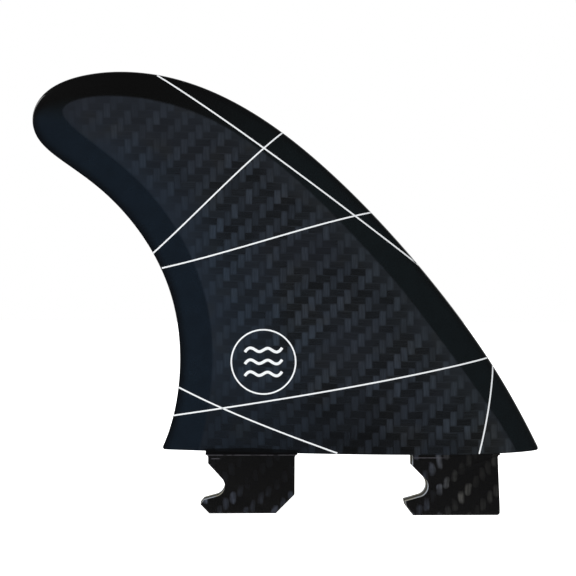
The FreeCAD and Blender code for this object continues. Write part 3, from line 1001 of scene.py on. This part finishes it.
# %% Rear and front tab
HOOK_PITCH = 61.45
REAR_HOOK_X = -42.05
REAR_TAB_LENGTH = 26.05
REAR_TAB_DEPTH = 18.55
REAR_HOOK_ABOVE_END = 8.3
REAR_HOOK_SET_IN = 1.8
REAR_THROAT_DROP = 3.5
REAR_LIP_REACH = 2.95
REAR_LIP_TIP = (-4.0, -5.55)
REAR_TAB_CHAMFER = 5.6
FRONT_TAB_LENGTH = 25.9
FRONT_TAB_DEPTH = 19.3
FRONT_HOOK_ABOVE_END = 8.75
FRONT_HOOK_SET_IN = 1.5
FRONT_THROAT_DROP = 4.4
FRONT_LIP_REACH = 3.75
FRONT_LIP_TIP = (-3.25, -6.2)
FRONT_TAB_RAKE = math.radians(2.6)
FRONT_TAB_TOE_RADIUS = 0.9
rear_side_x = REAR_HOOK_X - REAR_HOOK_SET_IN
rear_far_x = rear_side_x + REAR_TAB_LENGTH
rear_far = [
    (rear_far_x - REAR_TAB_CHAMFER, -REAR_TAB_DEPTH, 0.0),
    (rear_far_x, REAR_TAB_CHAMFER - REAR_TAB_DEPTH, 0.0),
]
rear_tab = tab(
    "rear_tab",
    Vector((REAR_HOOK_X, REAR_HOOK_ABOVE_END - REAR_TAB_DEPTH)),
    rear_side_x,
    REAR_TAB_DEPTH,
    REAR_THROAT_DROP,
    REAR_LIP_REACH,
    REAR_LIP_TIP,
    rear_far,
    rear_far_x,
)
front_hook_x = REAR_HOOK_X + HOOK_PITCH
front_side_x = front_hook_x - FRONT_HOOK_SET_IN
front_far_x = front_side_x + FRONT_TAB_LENGTH
fall = FRONT_TAB_DEPTH - SHOULDER_DROP - ROOT_FLARE
front_far = [(front_far_x + fall * math.tan(FRONT_TAB_RAKE), -FRONT_TAB_DEPTH, FRONT_TAB_TOE_RADIUS)]
front_tab = tab(
    "front_tab",
    Vector((front_hook_x, FRONT_HOOK_ABOVE_END - FRONT_TAB_DEPTH)),
    front_side_x,
    FRONT_TAB_DEPTH,
    FRONT_THROAT_DROP,
    FRONT_LIP_REACH,
    FRONT_LIP_TIP,
    front_far,
    front_far_x,
)
print("tab faces", len(rear_tab.data.polygons), len(front_tab.data.polygons))

# %% [markdown]
# ## White lines and mark
# Six fine white lines lie in the resin, just over the carbon. They run from edge to edge, half
# a millimetre wide, each with a slight curve. The ink is not quite even, and the clear gloss
# lies over it as well, so the lines shine as the blade does.

# %% White ink
INK_CLOUD_SIZE = 2.5
white_ink, shader, tree, add = new_material(
    "white pigmented epoxy ink",
    Roughness=0.4,
    Coat_Weight=1.0,
    Coat_Roughness=0.04,
    Coat_IOR=1.5,
)
place = add("ShaderNodeTexCoord", out="Object")
uneven = {"Vector": place, "Scale": 1 / (INK_CLOUD_SIZE * MM), "Detail": 3.0}
uneven = add("ShaderNodeTexNoise", uneven)
ink = {"Factor": uneven, "A": linear("eef2f5"), "B": linear("fbfdff")}
ink = add("ShaderNodeMix", ink, **COLOUR_MIX)
tree.links.new(ink, shader.inputs["Base Color"])
print("made", white_ink.name)

# %% [markdown]
# The lines could be drawn in the blade's material, but as narrow bands of their own they keep
# a clean edge. A ray from the front finds the skin under each of their points. Each band stands
# a few hundredths of a millimetre proud and is sunk into the skin, so no gap can open.

# %% White lines
LINE_WIDTH = 0.46
PROUD = 0.03
SAME_POINT = 0.01
LINES = [
    [(-60.2, 113.6), (-32.4, 95.9), (-6.1, 75.9), (20.5, 56.3)],
    [(-21.6, 96.8), (-35.4, 85.0), (-47.7, 71.6), (-61.1, 59.4)],
    [(5.5, 72.5), (-16.0, 67.6), (-36.8, 59.9), (-58.3, 55.0)],
    [(-54.4, 10.3), (-22.1, 15.4), (10.3, 21.0), (42.1, 28.3)],
    [(-52.9, 18.8), (-37.5, 11.1), (-21.2, 5.2), (-5.0, -0.5)],
    [(43.3, 25.9), (42.1, 17.0), (40.5, 8.0), (38.1, -0.7)],
]
IN_FRONT = -50.0
skin = BVHTree.FromObject(blade, bpy.context.evaluated_depsgraph_get())


def on_skin(x, z):
    """The place on the blade's outer face in front of a side view place, or None beside the blade."""
    hit = skin.ray_cast(Vector((x, IN_FRONT, z)) * MM, Vector((0, 1, 0)))[0]
    return None if hit is None else hit / MM


def lay_band(bm, line, width):
    """A narrow band along a line of side view points, laid on the skin and sunk into it."""
    count = len(line) - 1
    closed = (line[0] - line[-1]).length < SAME_PLACE
    band = bmesh.ops.create_grid(bm, x_segments=count, y_segments=1, size=1.0)["verts"]
    for vertex in band:
        i = round((vertex.co.x + 1) / 2 * count)
        before = line[i - 1] if i > 0 else line[-2 if closed else 0]
        after = line[i + 1] if i < count else line[1 if closed else -1]
        ahead = (after - before).normalized()
        place = line[i] + Vector((-ahead.z, 0, ahead.x)) * (vertex.co.y * width / 2)
        vertex.co = on_skin(place.x, place.z) or on_skin(line[i].x, line[i].z)
        vertex.co.y -= PROUD
    if closed:
        bmesh.ops.remove_doubles(bm, verts=band, dist=SAME_POINT)
    faces = {face for vertex in band if vertex.is_valid for face in vertex.link_faces}
    for vertex in vertices_of(bmesh.ops.extrude_face_region(bm, geom=list(faces))["geom"]):
        vertex.co.y += 3 * PROUD


bm = bmesh.new()
for line_poles in LINES:
    line = [point for point in smooth_curve(line_poles, steps=96) if on_skin(point.x, point.z)]
    lay_band(bm, line, LINE_WIDTH)
lines = finish_mesh(bm, "white_lines", [white_ink], smooth_angle=30)
print("line faces", len(lines.data.polygons))

# %% [markdown]
# The mark near the rear of the base is a thin ring with three waves inside it, in the same ink
# as the lines. It is laid on the skin by the same function, the ring as a line that closes.

# %% Mark
MARK_X = -27.35
MARK_Z = 26.8
MARK_RADIUS = 9.7
RING_STEPS = 96
WAVE_WIDTH = 0.85
WAVE_GAP = 3.6
WAVE = [(-5.6, -0.7), (-4.0, 1.9), (-1.4, -2.3), (1.4, 2.3), (4.0, -1.9), (5.6, 0.7)]

bm = bmesh.new()
ring = []
for turn in [2 * math.pi * i / RING_STEPS for i in range(RING_STEPS)] + [0.0]:
    right, up = MARK_RADIUS * math.cos(turn), MARK_RADIUS * math.sin(turn)
    ring.append(Vector((MARK_X + right, 0, MARK_Z + up)))
lay_band(bm, ring, LINE_WIDTH)
for lift in (WAVE_GAP, 0, -WAVE_GAP):
    moved = [(MARK_X + x, MARK_Z + z + lift) for x, z in WAVE]
    lay_band(bm, smooth_curve(moved, steps=12), WAVE_WIDTH)
mark = finish_mesh(bm, "ring_and_waves", [white_ink], smooth_angle=30)
print("mark faces", len(mark.data.polygons))

# %% [markdown]
# ## Light, floor and camera
# The fin stands before a bare white room, as in a catalogue picture. A glossy black piece shows
# what surrounds it more than its own colour, so what it mirrors is set apart from what lights
# it. Its sheen comes from one soft box at the left. The floor and the soft box are given in
# metres, as the scene is.

# %% Floor
FLOOR_DROP = 0.12
FLOOR_SIZE = 8.0
FLOOR_FRONT = 0.2
FLOOR_DIM_TO = 0.2
FLOOR_BRIGHT_FROM = 0.7
FLOOR_DIM = 0.1
floor_paint, shader, tree, add = new_material(
    "matt white floor",
    Base_Color=(0.85, 0.85, 0.85, 1),
    Emission_Color=(1, 1, 1, 1),
    Roughness=0.9,
    Specular_IOR_Level=0.1,
)
# To the camera the floor glows white far from the fin and at its front end. Beside the fin it
# hardly glows, so its shadow shows from above.
seen = add("ShaderNodeLightPath", out="Is Camera Ray")
place = add("ShaderNodeTexCoord", out="Object")
reach = add("ShaderNodeVectorMath", {0: place}, out="Value", operation="LENGTH")
glow = {"Value": reach, "From Min": FLOOR_DIM_TO, "From Max": FLOOR_BRIGHT_FROM, "To Min": FLOOR_DIM}
glow = add("ShaderNodeMapRange", glow)
front = add("ShaderNodeSeparateXYZ", {0: place}, out="Y")
front = {"Value": front, "From Min": -FLOOR_FRONT, "From Max": 0.0, "To Min": 1.0, "To Max": 0.0}
front = add("ShaderNodeMapRange", front)
glow = add("ShaderNodeMath", {0: glow, 1: front}, operation="MAXIMUM")
glow = add("ShaderNodeMath", {0: glow, 1: seen}, operation="MULTIPLY")
tree.links.new(glow, shader.inputs["Emission Strength"])
bm = bmesh.new()
bmesh.ops.create_grid(bm, x_segments=1, y_segments=1, size=FLOOR_SIZE / 2)
bmesh.ops.translate(bm, vec=(0, FLOOR_SIZE / 2 - FLOOR_FRONT, 0), verts=bm.verts)
mesh = bpy.data.meshes.new("floor")
bm.to_mesh(mesh)
bm.free()
mesh.materials.append(floor_paint)
floor = bpy.data.objects.new("floor", mesh)
floor.location = (0, 0, -FLOOR_DROP)
bpy.context.scene.collection.objects.link(floor)
print("floor", FLOOR_DROP, "m below the board line")

# %% Soft box
SOFT_BOX_PLACE = Vector((-1.35, -0.5, 0.6))
SOFT_BOX_SIZE = 1.0
SOFT_BOX_POWER = 16
LIT_PLACE = Vector((0, 0, 0.04))
data = bpy.data.lights.new("left soft box", "AREA")
data.size = SOFT_BOX_SIZE
data.energy = SOFT_BOX_POWER
light = bpy.data.objects.new("left soft box", data)
light.location = SOFT_BOX_PLACE
light.rotation_euler = (LIT_PLACE - SOFT_BOX_PLACE).to_track_quat("-Z", "Y").to_euler()
bpy.context.scene.collection.objects.link(light)
print("soft box", (LIT_PLACE - SOFT_BOX_PLACE).length, "m away")

# %% [markdown]
# The room is the world behind everything. It lights the fin evenly and is white to the camera.
# In a reflection it is dark in front and white behind the fin, so that the blade stays black
# from the front and its far edges brighten.

# %% Room
ROOM_LIGHT = 0.8
ROOM_FRONT = 0.05
ROOM_BACK = 1.0
ROOM_DARK_TO = 0.3
ROOM_WHITE_FROM = 0.7
world = bpy.data.worlds.new("studio")
bpy.context.scene.world = world
world.use_nodes = True
tree = world.node_tree
add = node_adder(tree)
background = tree.nodes["Background"]
rays = ("Is Camera Ray", "Is Glossy Ray", "Is Transmission Ray")
seen, glossy, clear = [add("ShaderNodeLightPath", out=ray) for ray in rays]
mirrored = add("ShaderNodeMath", {0: glossy, 1: clear}, operation="MAXIMUM")
direction = add("ShaderNodeTexCoord", out="Generated")
backward = add("ShaderNodeSeparateXYZ", {0: direction}, out="Y")
sweep = {"Value": backward, "From Min": ROOM_DARK_TO, "From Max": ROOM_WHITE_FROM}
sweep = add("ShaderNodeMapRange", {**sweep, "To Min": ROOM_FRONT, "To Max": ROOM_BACK})
level = add("ShaderNodeMix", {"Factor": mirrored, "A": ROOM_LIGHT, "B": sweep}, out="Result")
level = add("ShaderNodeMix", {"Factor": seen, "A": level, "B": 1.0}, out="Result")
tree.links.new(level, background.inputs["Strength"])
background.inputs["Color"].default_value = (1, 1, 1, 1)
print("room light", ROOM_LIGHT)

# %% [markdown]
# The camera stands in front of the foiled face, a little to the rear, at the place, turn and
# lens that lay the outline and the notch walls over those of the photo.

# %% Camera
CAMERA_PLACE = Vector((-38.8, -367.0, 46.2))
CAMERA_YAW = math.radians(2.930)
CAMERA_PITCH = math.radians(0.464)
CAMERA_ROLL = math.radians(0.34)
CAMERA_LENS = 75.75
SENSOR_WIDTH = 36
data = bpy.data.cameras.new("camera")
data.lens = CAMERA_LENS
data.sensor_width = SENSOR_WIDTH
camera = bpy.data.objects.new("camera", data)
bpy.context.scene.collection.objects.link(camera)
turn = Matrix.Rotation(-CAMERA_YAW, 3, "Z") @ Matrix.Rotation(math.pi / 2 + CAMERA_PITCH, 3, "X")
turn = turn @ Matrix.Rotation(CAMERA_ROLL, 3, "Z")
camera.matrix_world = Matrix.Translation(CAMERA_PLACE * MM) @ turn.to_4x4()
bpy.context.scene.camera = camera
bpy.context.scene.view_settings.view_transform = "Standard"
print("camera", CAMERA_PLACE.length, "mm from the frame's origin")
